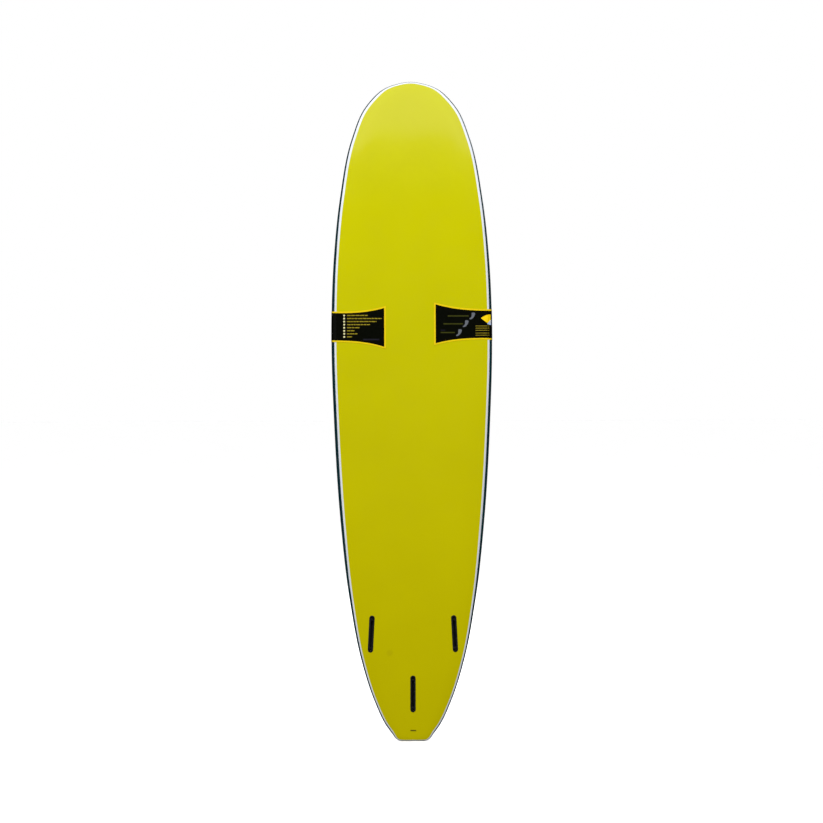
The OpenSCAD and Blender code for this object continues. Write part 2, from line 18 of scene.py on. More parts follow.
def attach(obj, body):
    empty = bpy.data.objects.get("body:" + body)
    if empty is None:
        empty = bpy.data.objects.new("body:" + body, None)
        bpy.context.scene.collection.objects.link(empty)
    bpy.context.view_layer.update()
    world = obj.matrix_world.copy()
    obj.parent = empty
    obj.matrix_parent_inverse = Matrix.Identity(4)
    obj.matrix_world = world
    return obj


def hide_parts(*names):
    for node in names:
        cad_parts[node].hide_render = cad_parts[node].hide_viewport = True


MM = 0.001
BOARD = "board"

# ---- Sizes, as in the CAD source ----

BOARD_L = 2438 * MM
BOARD_T = 83 * MM
END_T = 30 * MM
NOSE_ROCKER = 115 * MM
TAIL_ROCKER = 45 * MM
DECK_CROWN = 7 * MM
FLAT_Z = 0.43 * BOARD_L
THICK_Z = 0.51 * BOARD_L
NOSE_ROCKER_POWER = 2.6
TAIL_ROCKER_POWER = 2.3
FOIL_POWER = 2.4

RAIL_ROLL = 80 * MM
RAIL_APEX = 0.42
SEAM_OUTER = 10.5 * MM
SEAM_INNER = 18 * MM
SEAM_RISE = 5 * MM
SEAM_EASE = 1000 * MM
SEAM_OUTER_END = 0.42
SEAM_INNER_TAIL = 0.5
SEAM_INNER_NOSE = 0.72
SEAM_TIP = 0.55
SEAM_TIP_TAIL = 40 * MM
SEAM_TIP_NOSE = 60 * MM

SPINE_TAIL_GAP = 45 * MM
SPINE_TAIL_EASE = 110 * MM
SPINE_NOSE_GAP = 120 * MM
SPINE_NOSE_EASE = 260 * MM
SPINE_SPREAD = 0.4
SPINE_SPREAD_EASE = 80 * MM

DECK_SKIN_T = 5 * MM
SLICK_T = 1.5 * MM
BASE_T = 4.5 * MM
CORE_SEAM_SHARE = 0.8

# Half outline from the middle of the tail to the tip of the nose: distance from the centreline,
# height over the tail, in millimetres
OUTLINE = [
    (0, 0), (37, 0.7), (54, 3.5), (64, 11), (75.4, 26), (98, 57), (141.5, 149), (188.5, 297),
    (231, 519), (264.5, 815), (287, 1180), (295.5, 1500), (286, 1778), (263, 2000),
    (219, 2222), (168, 2342), (94, 2414), (48, 2430.5), (0, 2438),
]

BOX_L = 137 * MM
BOX_W = 20 * MM
BOX_STEP = 6 * MM
BOX_PROUD = 0.5 * MM
BOX_DEPTH = 18 * MM
FLANGE_T = 2.5 * MM
SLOT_L = 100 * MM
SLOT_W = 7 * MM
SLOT_DEPTH = 15 * MM
# Distance from the centreline, height over the tail and toe-in in degrees of each fin box
FINS = {
    "left": (-153 * MM, 398 * MM, -3),
    "right": (153 * MM, 398 * MM, 3),
    "centre": (0, 176 * MM, 0),
}
ENDS = {"front": 1, "rear": -1}

SCREW_Y = 58.5 * MM
HEAD_D = 8.6 * MM
HEAD_T = 3.2 * MM
HEAD_SINK = 0.8 * MM
HEAD_HOLE_D = 9.4 * MM
HEAD_SEAT = 4.1 * MM
SHANK_D = 5 * MM
SHANK_L = 20 * MM
SHANK_HOLE_D = 5.4 * MM
SOCKET_ACROSS = 4 * MM
SOCKET_DEPTH = 2 * MM

LEASH_Z = 72 * MM
LEASH_FLANGE_D = 36 * MM
LEASH_FLANGE_T = 2.5 * MM
LEASH_BODY_D = 30 * MM
LEASH_BODY_DEPTH = 20 * MM
LEASH_HOLLOW_D = 24 * MM
LEASH_HOLLOW_DEPTH = 17 * MM
LEASH_PIN_D = 4 * MM
LEASH_PIN_L = 29 * MM
LEASH_PIN_DEPTH = 5 * MM

BAND_T = 0.5 * MM
BAND_GAP = 0.3 * MM
BAND_Z = 1529 * MM
BAND_HALF_RAIL = 56 * MM
BAND_HALF_END = 79 * MM
BAND_END_LEFT = 96 * MM
BAND_END_RIGHT = 81 * MM
BAND_SKEW = 13 * MM
BAND_FLARE_POWER = 2.5

# ---- Fineness of the meshes ----

STATION_STEP = 14 * MM
SPAN_STEPS_MIN = 4
LOWER_ANGLES = [0, 12, 24, 36, 48, 60, 70, 80]
ROLL_ANGLES = [0, 8, 16, 25, 34, 43, 52, 61, 70, 80, 90]
DECK_PARTS = [0.2, 0.4, 0.6, 0.8]
BOTTOM_PARTS = [0.3, 0.6, 0.85]
ROUND_STEPS = 48
EDGE_STEPS = 4
MERGE = 1e-6
SMOOTH_ANGLE = math.radians(32)


# ---- Shape of the board ----


def chord(points, i):
    return (points[i + 1] - points[i]).length


def tangent(points, i):
    """Direction of the outline at a point; it runs square across the centreline at both ends"""
    if i == 0:
        return Vector((1, 0))
    if i == len(points) - 1:
        return Vector((-1, 0))
    before, after = chord(points, i - 1), chord(points, i)
    step_in = (points[i] - points[i - 1]) * (after / before)
    step_out = (points[i + 1] - points[i]) * (before / after)
    return (step_in + step_out) / (before + after)


def on_span(points, i, t):
    run = chord(points, i)
    return (
        (2 * t**3 - 3 * t**2 + 1) * points[i]
        + (t**3 - 2 * t**2 + t) * run * tangent(points, i)
        + (3 * t**2 - 2 * t**3) * points[i + 1]
        + (t**3 - t**2) * run * tangent(points, i + 1)
    )


def outline_edge():
    points = [Vector(p) * MM for p in OUTLINE]
    edge = []
    for i in range(len(points) - 1):
        steps = max(SPAN_STEPS_MIN, math.ceil(chord(points, i) / STATION_STEP))
        edge += [on_span(points, i, k / steps) for k in range(steps)]
    return edge + [points[-1]]


def rocker(z):
    if z < FLAT_Z:
        return TAIL_ROCKER * ((FLAT_Z - z) / FLAT_Z) ** TAIL_ROCKER_POWER
    return NOSE_ROCKER * ((z - FLAT_Z) / (BOARD_L - FLAT_Z)) ** NOSE_ROCKER_POWER


def thickness(z):
    run = THICK_Z if z < THICK_Z else BOARD_L - THICK_Z
    return BOARD_T - (BOARD_T - END_T) * (abs(z - THICK_Z) / run) ** FOIL_POWER


DATUM_Y = rocker(0) + thickness(0) / 2


def bottom_y(z):
    return rocker(z) - DATUM_Y


def deck_y(z):
    return bottom_y(z) + thickness(z)


def deck_height(z, part):
    """Height of the deck over the bottom, at a part of the way from the rail to the spine"""
    return thickness(z) * (1 - DECK_CROWN / BOARD_T * (1 - part) ** 2)


def tail_lean(z):
    steepness = TAIL_ROCKER_POWER * TAIL_ROCKER / FLAT_Z
    return math.atan(steepness * ((FLAT_Z - z) / FLAT_Z) ** (TAIL_ROCKER_POWER - 1))


def grown(z, share, tail_run, nose_run):
    """From a share at the tail's and the nose's end to 1 beyond these runs from them"""
    run = min(1.0, z / tail_run, (BOARD_L - z) / nose_run)
    return share + (1 - share) * (1 - math.cos(math.pi * run)) / 2


def seam_tip(z):
    return grown(z, SEAM_TIP, SEAM_TIP_TAIL, SEAM_TIP_NOSE)


def outer_scale(z):
    return seam_tip(z) * grown(z, SEAM_OUTER_END, SEAM_EASE, SEAM_EASE)


def inner_scale(z):
    end = SEAM_INNER_TAIL if z < BOARD_L / 2 else SEAM_INNER_NOSE
    return seam_tip(z) * grown(z, end, SEAM_EASE, SEAM_EASE)


def end_distance(x, run):
    return run + SPINE_SPREAD * x * math.exp(-run / SPINE_SPREAD_EASE)


def spine_z(x, z):
    tail_run = end_distance(x, z)
    nose_run = end_distance(x, BOARD_L - z)
    from_tail = tail_run - z + SPINE_TAIL_GAP * math.exp(-tail_run / SPINE_TAIL_EASE)
    from_nose = nose_run - (BOARD_L - z) + SPINE_NOSE_GAP * math.exp(-nose_run / SPINE_NOSE_EASE)
    return z + from_tail - from_nose


class Station:
    """A half section that runs from a point of the outline in to the spine"""

    def __init__(self, edge):
        self.edge = edge
        self.spine = Vector((0, spine_z(edge.x, edge.y)))
        self.full = (self.spine - edge).length
        self.roll = self.full * RAIL_ROLL / (self.full + RAIL_ROLL)
        self.outer = outer_scale(edge.y)
        self.inner = inner_scale(edge.y)

    def point(self, d, height):
        """A point at distance d in from the outline; height(z) is its height over the bottom"""
        x, z = self.edge + (self.spine - self.edge) * (d / self.full)
        return Vector((x, bottom_y(z) + height(z), z))

    def lower_rail(self, degrees, inset=0.0):
        """From the seam, at 0 degrees, up to the rail's widest line, at 90"""
        a = math.radians(degrees)
        extra = CORE_SEAM_SHARE * inset
        seam_d = SEAM_OUTER * self.outer + extra
        seam_h = SEAM_RISE * self.outer + extra
        d = inset + (seam_d - inset) * (1 - math.sin(a))
        return self.point(d, lambda z: self.arc_height(z, seam_h, a))

    @staticmethod
    def arc_height(z, seam_h, a):
        apex_h = RAIL_APEX * thickness(z)
        return apex_h - (apex_h - seam_h) * math.cos(a)

    def rail_roll(self, degrees, inset=0.0):
        """From the rail's widest line, at 0 degrees, over on to the deck, at 90"""
        a = math.radians(degrees)
        d = inset + (self.roll - inset) * (1 - math.cos(a))

        def height(z):
            apex_h = RAIL_APEX * thickness(z)
            return apex_h + (deck_height(z, d / self.full) - inset - apex_h) * math.sin(a)

        return self.point(d, height)

    def deck(self, part, inset=0.0):
        """From the end of the rail's roll, at part 0, to the spine, at part 1"""
        d = self.roll + (self.full - self.roll) * part
        return self.point(d, lambda z: deck_height(z, d / self.full) - inset)

    def slick_edge(self, d, h):
        """A point near the slick's edge: d further in from it, and h over the bottom"""
        core_d = CORE_SEAM_SHARE * DECK_SKIN_T * (1 - self.inner) * h / BASE_T
        return self.point(SEAM_INNER * self.inner + core_d + d, lambda z: h)

    def bottom(self, part, h):
        """From the slick's edge, at part 0, to the spine, at part 1"""
        edge_d = SEAM_INNER * self.inner
        return self.point(edge_d + (self.full - edge_d) * part, lambda z: h)


STATIONS = [Station(edge) for edge in outline_edge()]


def half_width(z):
    """Half the board's width at a height over the tail"""
    for low, high in zip(STATIONS, STATIONS[1:]):
        if z <= high.edge.y:
            part = (z - low.edge.y) / (high.edge.y - low.edge.y)
            return low.edge.x + (high.edge.x - low.edge.x) * part
    return 0.0


# ---- Mesh helpers ----


def finished(bm, name, body=BOARD, closed=True):
    """The object of a bmesh, smooth apart from its sharp edges, riding on a body"""
    bmesh.ops.remove_doubles(bm, verts=bm.verts, dist=MERGE)
    bmesh.ops.dissolve_degenerate(bm, dist=MERGE, edges=bm.edges)
    if closed:
        bmesh.ops.recalc_face_normals(bm, faces=bm.faces)
    mesh = bpy.data.meshes.new(name)
    bm.to_mesh(mesh)
    bm.free()
    piece = bpy.data.objects.new(name, mesh)
    bpy.context.scene.collection.objects.link(piece)
    shade(mesh)
    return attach(piece, body) if body else piece


def shade(mesh):
    mesh.shade_smooth()
    mesh.set_sharp_from_angle(angle=SMOOTH_ANGLE)


def add_ring(bm, points):
    return [bm.verts.new(p) for p in points]


def bridge(bm, low, high, closed=True):
    """Quads between two rings of the same count"""
    count = len(low)
    for j in range(count if closed else count - 1):
        k = (j + 1) % count
        bm.faces.new((low[j], low[k], high[k], high[j]))


def fill(bm, rings):
    """A flat face inside the first ring, with the other rings as its holes"""
    verts = [v for ring in rings for v in ring]
    for corners in tessellate_polygon([[v.co for v in ring] for ring in rings]):
        bm.faces.new([verts[c] for c in corners])


def sweep(bm, outline, profile):
    """Bridged rings, one for each (grow, height); outline(grow) gives the flat shape's points"""
    rings = [
        add_ring(bm, [(x, y, height) for x, y in outline(grow)]) for grow, height in profile
    ]
    for low, high in zip(rings, rings[1:]):
        bridge(bm, low, high)
    return rings


def stadium(length, width, grow):
    """A round-ended slot shape, grown on all sides"""
    r = width / 2 + grow
    reach = (length - width) / 2
    half = ROUND_STEPS // 2
    angles = [math.pi * k / half for k in range(half + 1)]
    return [
        (end * r * math.cos(a), end * (reach + r * math.sin(a))) for end in (1, -1) for a in angles
    ]


def circle(radius, y=0.0):
    return [
        (radius * math.cos(a), y + radius * math.sin(a))
        for a in (math.tau * k / ROUND_STEPS for k in range(ROUND_STEPS))
    ]


def rounded(grow, height, radius, inward=True):
    """Profile points of a rounded top edge: from the side wall up to the flat face"""
    side = -1 if inward else 1
    points = []
    for k in range(EDGE_STEPS + 1):
        a = math.pi / 2 * k / EDGE_STEPS
        points.append(
            (grow + side * radius * (1 - math.cos(a)), height - radius * (1 - math.sin(a)))
        )
    return points


def cut(piece, cutter):
    """Takes the cutter's shape out of a piece for good"""
    boolean = piece.modifiers.new("cut", "BOOLEAN")
    boolean.object = cutter
    boolean.solver = "EXACT"
    whole = piece.data
    depsgraph = bpy.context.evaluated_depsgraph_get()
    piece.data = bpy.data.meshes.new_from_object(piece.evaluated_get(depsgraph))
    piece.modifiers.remove(boolean)
    bpy.data.meshes.remove(whole)
    cutter_mesh = cutter.data
    bpy.data.objects.remove(cutter)
    bpy.data.meshes.remove(cutter_mesh)
    shade(piece.data)


def layer(name, loop_of):
    """A layer that crosses the spine; loop_of(station) gives its right half's points in order"""
    bm = bmesh.new()
    for side in (1, -1):
        rows = [
            add_ring(bm, [(side * p.x, p.y, p.z) for p in loop_of(station)])
            for station in STATIONS
        ]
        for low, high in zip(rows, rows[1:]):
            for j in range(len(low)):
                k = (j + 1) % len(low)
                corners = (low[j], low[k], high[k], high[j])
                if any(abs(v.co.x) > MERGE for v in corners):
                    bm.faces.new(corners)
    return finished(bm, name)


def half_layer(name, loop_of, side):
    """A layer on one side that keeps clear of the spine, closed at the tail and the nose"""
    bm = bmesh.new()
    rows = [
        add_ring(bm, [(side * p.x, p.y, p.z) for p in loop_of(station)]) for station in STATIONS
    ]
    for low, high in zip(rows, rows[1:]):
        bridge(bm, low, high)
    bm.faces.new(rows[0])
    bm.faces.new(rows[-1])
    return finished(bm, name)


# ---- Skins ----

# Depth and width of the shallow groove where two skins are welded edge to edge
GROOVE_DEPTH = 0.4 * MM
GROOVE_WIDTH = 0.9 * MM
GROOVE_DEGREES = 2.5
SEAM_BULGE = 0.25 * MM
SEAM_STEPS = 8


def deck_loop(station):
    """The foam deck skin, from the seam round the rail to the spine and back inside"""
    groove = station.lower_rail(0)
    groove.y += GROOVE_DEPTH
    outside = [station.lower_rail(a) for a in [GROOVE_DEGREES] + LOWER_ANGLES[1:]]
    outside += [station.rail_roll(a) for a in ROLL_ANGLES]
    outside += [station.deck(part) for part in DECK_PARTS + [1]]
    inside = [station.deck(part, DECK_SKIN_T) for part in [1] + DECK_PARTS[::-1]]
    inside += [station.rail_roll(a, DECK_SKIN_T) for a in ROLL_ANGLES[::-1]]
    inside += [station.lower_rail(a, DECK_SKIN_T) for a in LOWER_ANGLES[::-1]]
    return [groove] + outside + inside


def slick_loop(station):
    """The slick sheet, from the spine out to its rounded edge and back inside"""
    outside = [station.bottom(part, 0) for part in [1] + BOTTOM_PARTS[::-1]]
    outside += [
        station.slick_edge(GROOVE_WIDTH, 0),
        station.slick_edge(GROOVE_WIDTH / 3, GROOVE_DEPTH / 3),
        station.slick_edge(0, GROOVE_DEPTH),
    ]
    inside = [station.slick_edge(0, SLICK_T)]
    inside += [station.bottom(part, SLICK_T) for part in BOTTOM_PARTS + [1]]
    return outside + inside


def seam_loop(station):
    """The welded strip: a low crown between two shallow grooves"""
    start = station.slick_edge(0, 0)
    end = station.lower_rail(0)
    across = (end - start).normalized()
    outwards = across.cross(Vector((0, 0, 1)))
    if outwards.y > 0:
        outwards.negate()
    width = (end - start).length
    crown = []
    for k in range(SEAM_STEPS + 1):
        part = k / SEAM_STEPS
        from_edge = min(part, 1 - part) * width
        dip = GROOVE_DEPTH * max(0.0, 1 - from_edge / GROOVE_WIDTH)
        bulge = SEAM_BULGE * math.sin(math.pi * part)
        crown.append(start + (end - start) * part + outwards * (bulge - dip))
    inside = [
        station.lower_rail(0, DECK_SKIN_T),
        station.slick_edge(0, BASE_T),
        station.slick_edge(0, SLICK_T),
    ]
    return crown + inside


def fin_place(fin):
    """A fin box's own frame: +Z out of the bottom, +Y towards the nose, the bottom at z = 0"""
    x, z, toe = FINS[fin]
    return (
        Matrix.Translation((x, bottom_y(z), z))
        @ Matrix.Rotation(math.pi / 2 + tail_lean(z), 4, "X")
        @ Matrix.Rotation(math.radians(toe), 4, "Z")
    )


def leash_place():
    """The leash cup's own frame: +Z out of the deck"""
    return Matrix.Translation((0, deck_y(LEASH_Z), LEASH_Z)) @ Matrix.Rotation(
        -math.pi / 2, 4, "X"
    )


def fin_box_cutter():
    bm = bmesh.new()
    for fin in FINS:
        new = bmesh.new()
        rings = sweep(
            new, lambda grow: stadium(BOX_L, BOX_W, grow), [(0, -BOX_DEPTH), (0, BOX_DEPTH)]
        )
        fill(new, [rings[0]])
        fill(new, [rings[-1]])
        new.transform(fin_place(fin))
        shape = bpy.data.meshes.new("cutter")
        new.to_mesh(shape)
        new.free()
        bm.from_mesh(shape)
        bpy.data.meshes.remove(shape)
    return finished(bm, "fin_box_cutter", body=None)


def leash_cutter():
    bm = bmesh.new()
    depth = 2 * DECK_SKIN_T
    rings = sweep(bm, lambda grow: circle(LEASH_FLANGE_D / 2 + grow), [(0, -depth), (0, depth)])
    fill(bm, [rings[0]])
    fill(bm, [rings[-1]])
    bm.transform(leash_place())
    return finished(bm, "leash_cutter", body=None)


def make_skins(paints):
    deck = layer("deck_foam", deck_loop)
    cut(deck, leash_cutter())
    dress(deck, paints["deck_foam"], "deck_foam", "deck_skin")
    slick = layer("slick_bottom", slick_loop)
    cut(slick, fin_box_cutter())
    dress(slick, paints["slick_bottom"], "slick_bottom", "bottom_skin")
    for name, side in (("left", -1), ("right", 1)):
        strip = half_layer(f"welded_strip_{name}", seam_loop, side)
        dress(strip, paints["seam_strip"], "seam_strip", f"seam_strip_{name}")


def dress(piece, material, slot, *nodes):
    """Gives a piece its material and lets it stand for CAD nodes by hiding them; the slot is not used"""
    piece.data.materials.clear()
    piece.data.materials.append(material)
    if nodes:
        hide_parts(*nodes)


# ---- Fin boxes and screws ----

FLANGE_ROUND = 0.9 * MM
SLOT_ROUND = 0.5 * MM


def fin_box(fin, material):
    bm = bmesh.new()
    body = -BOX_STEP / 2
    outer = sweep(
        bm,
        lambda grow: stadium(BOX_L, BOX_W, grow),
        [(body, -BOX_DEPTH), (body, -FLANGE_T), (0, -FLANGE_T)]
        + rounded(0, BOX_PROUD, FLANGE_ROUND),
    )
    slot = sweep(
        bm,
        lambda grow: stadium(SLOT_L, SLOT_W, grow),
        [(-SLOT_ROUND, -SLOT_DEPTH), (0, -SLOT_DEPTH + SLOT_ROUND)]
        + rounded(0, BOX_PROUD, SLOT_ROUND, inward=False),
    )
    fill(bm, [slot[0]])
    holes = [screw_hole(bm, end * SCREW_Y) for end in ENDS.values()]
    fill(bm, [outer[-1], slot[-1]] + [hole[-1] for hole in holes])
    fill(bm, [outer[0]] + [hole[0] for hole in holes])
    bm.transform(fin_place(fin))
    box = finished(bm, f"moulded_box_{fin}")
    dress(box, material, "box_nylon", f"fin_box_{fin}")


def screw_hole(bm, y):
    head = HEAD_HOLE_D / 2
    shank = SHANK_HOLE_D / 2
    return sweep(
        bm,
        lambda grow: circle(head + grow, y),
        [(shank - head, -BOX_DEPTH), (shank - head, -HEAD_SEAT), (0, -HEAD_SEAT)]
        + rounded(0, BOX_PROUD, SLOT_ROUND, inward=False),
    )


THREAD_PITCH = 0.8 * MM
THREAD_DEPTH = 0.4 * MM
THREAD_RINGS_PER_TURN = 8
SCREW_ROUND = 0.5 * MM
SCREW_TIP = 1.2 * MM
UNDERCUT = 1 * MM


def hexagon(across, height):
    """A ring of a hexagon's outline with as many points as a circle has"""
    points = []
    for x, y in circle(1):
        a = math.atan2(y, x)
        off = (a + math.pi / 6) % (math.pi / 3) - math.pi / 6
        r = across / 2 / math.cos(off)
        points.append((r * math.cos(a), r * math.sin(a), height))
    return points


def thread_radius(angle, depth):
    """Radius of the thread's flank at an angle round the shank and a depth below the head"""
    phase = (depth / THREAD_PITCH - angle / math.tau) % 1
    crest = SHANK_D / 2
    groove = THREAD_DEPTH * (1 - abs(2 * phase - 1))
    taper = THREAD_DEPTH * max(0.0, 1 - (SHANK_L - depth) / SCREW_TIP)
    return crest - max(groove, taper)


def screw_mesh():
    """A cap screw: its head's underside at z = 0, the shank below"""
    bm = bmesh.new()
    r = HEAD_D / 2
    socket_rim = SOCKET_ACROSS / 2 / math.cos(math.pi / 6) + 2 * SCREW_ROUND / 3
    head = sweep(
        bm,
        lambda grow: circle(r + grow),
        [(SHANK_D / 2 - r, 0), (-SCREW_ROUND / 2, 0), (0, SCREW_ROUND / 2)]
        + rounded(0, HEAD_T, SCREW_ROUND)
        + [(socket_rim - r, HEAD_T)],
    )
    rim = add_ring(bm, hexagon(SOCKET_ACROSS, HEAD_T - SCREW_ROUND / 2))
    floor = add_ring(bm, hexagon(SOCKET_ACROSS, HEAD_T - SOCKET_DEPTH))
    bridge(bm, head[-1], rim)
    bridge(bm, rim, floor)
    fill(bm, [floor])
    above = head[0]
    ring_step = THREAD_PITCH / THREAD_RINGS_PER_TURN
    for k in range(int((SHANK_L - UNDERCUT) / ring_step) + 1):
        depth = UNDERCUT + k * ring_step
        ring = []
        for x, y in circle(1):
            reach = thread_radius(math.atan2(y, x), depth)
            ring.append((reach * x, reach * y, -depth))
        below = add_ring(bm, ring)
        bridge(bm, above, below)
        above = below
    fill(bm, [above])
    bmesh.ops.remove_doubles(bm, verts=bm.verts, dist=MERGE)
    bmesh.ops.recalc_face_normals(bm, faces=bm.faces)
    mesh = bpy.data.meshes.new("cap_screw")
    bm.to_mesh(mesh)
    bm.free()
    shade(mesh)
    return mesh


def make_fin_hardware(paints):
    mesh = screw_mesh()
    seat = Matrix.Translation((0, 0, -HEAD_SINK - HEAD_T))
    for fin in FINS:
        fin_box(fin, paints["box_nylon"])
        for end, side in ENDS.items():
            screw = bpy.data.objects.new(f"cap_screw_{fin}_{end}", mesh)
            bpy.context.scene.collection.objects.link(screw)
            along = Matrix.Translation((0, side * SCREW_Y, 0))
            screw.matrix_world = fin_place(fin) @ along @ seat
            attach(screw, f"screw_{fin}_{end}")
            dress(screw, paints["screw_steel"], "screw_steel", f"fin_screw_{fin}_{end}")


# ---- Leash cup ----


def make_leash_cup(paints):
    bm = bmesh.new()
    body_r = LEASH_BODY_D / 2
    hollow_r = LEASH_HOLLOW_D / 2
    outer = sweep(
        bm,
        circle_of(LEASH_FLANGE_D / 2),
        [(body_r - LEASH_FLANGE_D / 2, -LEASH_BODY_DEPTH)]
        + [(body_r - LEASH_FLANGE_D / 2, -LEASH_FLANGE_T), (0, -LEASH_FLANGE_T)]
        + rounded(0, BOX_PROUD, FLANGE_ROUND),
    )
    fill(bm, [outer[0]])
    centre = hollow_r - LEASH_HOLLOW_DEPTH
    steps = ROUND_STEPS // 4
    bowl = []
    for k in range(1, steps + 1):
        a = math.pi / 2 * k / steps
        bowl.append((hollow_r * (math.sin(a) - 1), centre - hollow_r * math.cos(a)))
    inner = sweep(
        bm, circle_of(hollow_r), bowl + rounded(0, BOX_PROUD, FLANGE_ROUND, inward=False)
    )
    fill(bm, [inner[0]])
    bridge(bm, outer[-1], inner[-1])
    bm.transform(leash_place())
    cup = finished(bm, "moulded_leash_cup")
    dress(cup, paints["box_nylon"], "box_nylon", "leash_cup")

    bm = bmesh.new()
    half = LEASH_PIN_L / 2
    r = LEASH_PIN_D / 2
    top = rounded(0, half, SCREW_ROUND)
    rings = sweep(bm, circle_of(r), [(grow, -height) for grow, height in top[::-1]] + top)
    fill(bm, [rings[0]])
    fill(bm, [rings[-1]])
    lying = Matrix.Translation((0, 0, -LEASH_PIN_DEPTH)) @ Matrix.Rotation(math.pi / 2, 4, "Y")
    bm.transform(leash_place() @ lying)
    pin = finished(bm, "turned_leash_pin")
    dress(pin, paints["screw_steel"], "screw_steel", "leash_pin")


def circle_of(radius):
    return lambda grow: circle(radius + grow)


# ---- Belly band ----

BAND_END_STEPS = 16
BAND_ROWS = 12
BORDER_W = 5.8 * MM
BORDER_RAISE = 0.12 * MM
PRINT_RAISE = 0.1 * MM
# The leaf shapes cross the edge of the slick, where the film turns
LEAF_RAISE = 0.3 * MM


def outside_section(z, grow):
    """Half section of the outside from the slick's edge to the deck's middle, grown outwards:
    distance from the centreline and height over the bottom"""
    half = half_width(z)
    roll = half * RAIL_ROLL / (half + RAIL_ROLL)
    apex_h = RAIL_APEX * thickness(z)
    seam_d = SEAM_OUTER * outer_scale(z)
    seam_h = SEAM_RISE * outer_scale(z)
    points = [(half - SEAM_INNER * inner_scale(z), -grow)]
    for degrees in LOWER_ANGLES:
        a = math.radians(degrees)
        x = half - seam_d * (1 - math.sin(a)) + grow * math.sin(a)
        points.append((x, apex_h - (apex_h - seam_h + grow) * math.cos(a)))
    for degrees in ROLL_ANGLES:
        a = math.radians(degrees)
        d = roll * (1 - math.cos(a))
        rise = deck_height(z, d / half) + grow - apex_h
        points.append((half - d + grow * math.cos(a), apex_h + rise * math.sin(a)))
    for part in DECK_PARTS:
        x = (half - roll) * (1 - part)
        points.append((x, deck_height(z, 1 - x / half) + grow))
    return points


def band_section(z, grow):
    """All of the band's columns at one height, left end first"""
    half = outside_section(z, grow)
    edge = half[0][0]
    sides = []
    for end in (BAND_END_LEFT, BAND_END_RIGHT):
        columns = [
            (end + (edge - end) * k / BAND_END_STEPS, -grow) for k in range(BAND_END_STEPS)
        ]
        sides.append(columns + half)
    left, right = sides
    return (
        [(-x, h) for x, h in left] + [(0.0, thickness(z) + grow)] + [(x, h) for x, h in right[::-1]]
    )


BAND_COLUMNS = len(band_section(BAND_Z, 0))


def band_limits(k):
    """Lowest and highest point of the band at a column: it flares towards its two ends"""
    from_end = min(k, BAND_COLUMNS - 1 - k)
    part = max(0.0, 1 - from_end / BAND_END_STEPS)
    half = BAND_HALF_RAIL + (BAND_HALF_END - BAND_HALF_RAIL) * part**BAND_FLARE_POWER
    middle = BAND_Z + BAND_SKEW * (k / (BAND_COLUMNS - 1) - 0.5)
    return middle - half, middle + half


def band_point(k, z, grow):
    x, h = band_section(z, grow)[k]
    return (x, bottom_y(z) + h, z)


def band_sheet(name, heights_of, low_grow, high_grow):
    """A closed sheet over the outside; heights_of(k) gives the heights of a column's points"""
    bm = bmesh.new()
    rows = []
    for k in range(BAND_COLUMNS):
        heights = heights_of(k)
        loop = [band_point(k, z, high_grow) for z in heights]
        loop += [band_point(k, z, low_grow) for z in heights[::-1]]
        rows.append(add_ring(bm, loop))
    for low, high in zip(rows, rows[1:]):
        bridge(bm, low, high)
    bm.faces.new(rows[0])
    bm.faces.new(rows[-1])
    return finished(bm, name)


def evenly(low, high, steps):
    return [low + (high - low) * k / steps for k in range(steps + 1)]


def make_band(paints):
    top = BAND_GAP + BAND_T
    film = band_sheet("band_film", lambda k: evenly(*band_limits(k), BAND_ROWS), BAND_GAP, top)
    dress(film, paints["band_black"], "band_print", "belly_band")
    raised = top + BORDER_RAISE
    borders = {
        "nose_side": lambda k: evenly(band_limits(k)[1] - BORDER_W, band_limits(k)[1], 2),
        "tail_side": lambda k: evenly(band_limits(k)[0], band_limits(k)[0] + BORDER_W, 2),
    }
    for name, heights_of in borders.items():
        border = band_sheet(f"band_border_{name}", heights_of, top, raised)
        dress(border, paints["band_gold"], "band_print")
    last = BAND_COLUMNS - 1
    ends = {"left": (-1, BAND_END_LEFT, 0, 1), "right": (1, BAND_END_RIGHT, last, last - 1)}
    for name, (side, end, k, next_k) in ends.items():
        column_step = abs(band_point(next_k, BAND_Z, 0)[0]) - end
        inner_k = k + (next_k - k) * BORDER_W / column_step
        shape = [
            (side * end, *band_limits(k)),
            (side * (end + BORDER_W), *band_limits(inner_k)),
        ]
        border = print_piece(f"band_border_{name}_end", [shape], BORDER_RAISE)
        dress(border, paints["band_gold"], "band_print")


def under_height(x, z):
    """Height over the bottom of the outside, seen straight from below at a distance from the
    centreline"""
    d = max(0.0, half_width(z) - abs(x))
    slick_d = SEAM_INNER * inner_scale(z)
    if d >= slick_d:
        return 0.0
    seam_d = SEAM_OUTER * outer_scale(z)
    seam_h = SEAM_RISE * outer_scale(z)
    if d >= seam_d:
        return seam_h * (slick_d - d) / (slick_d - seam_d)
    apex_h = RAIL_APEX * thickness(z)
    a = math.asin(1 - d / seam_d)
    return apex_h - (apex_h - seam_h) * math.cos(a)


PRINT_STEP = 2.5 * MM
PRINT_ROW_STEP = 15 * MM


def refined(shape):
    """A print shape's columns (x, lowest z, highest z) with none further apart than a step"""
    columns = [shape[0]]
    for before, after in zip(shape, shape[1:]):
        steps = max(1, math.ceil(abs(after[0] - before[0]) / PRINT_STEP))
        for k in range(1, steps + 1):
            part = k / steps
            columns.append(tuple(b + (a - b) * part for b, a in zip(before, after)))
    return columns


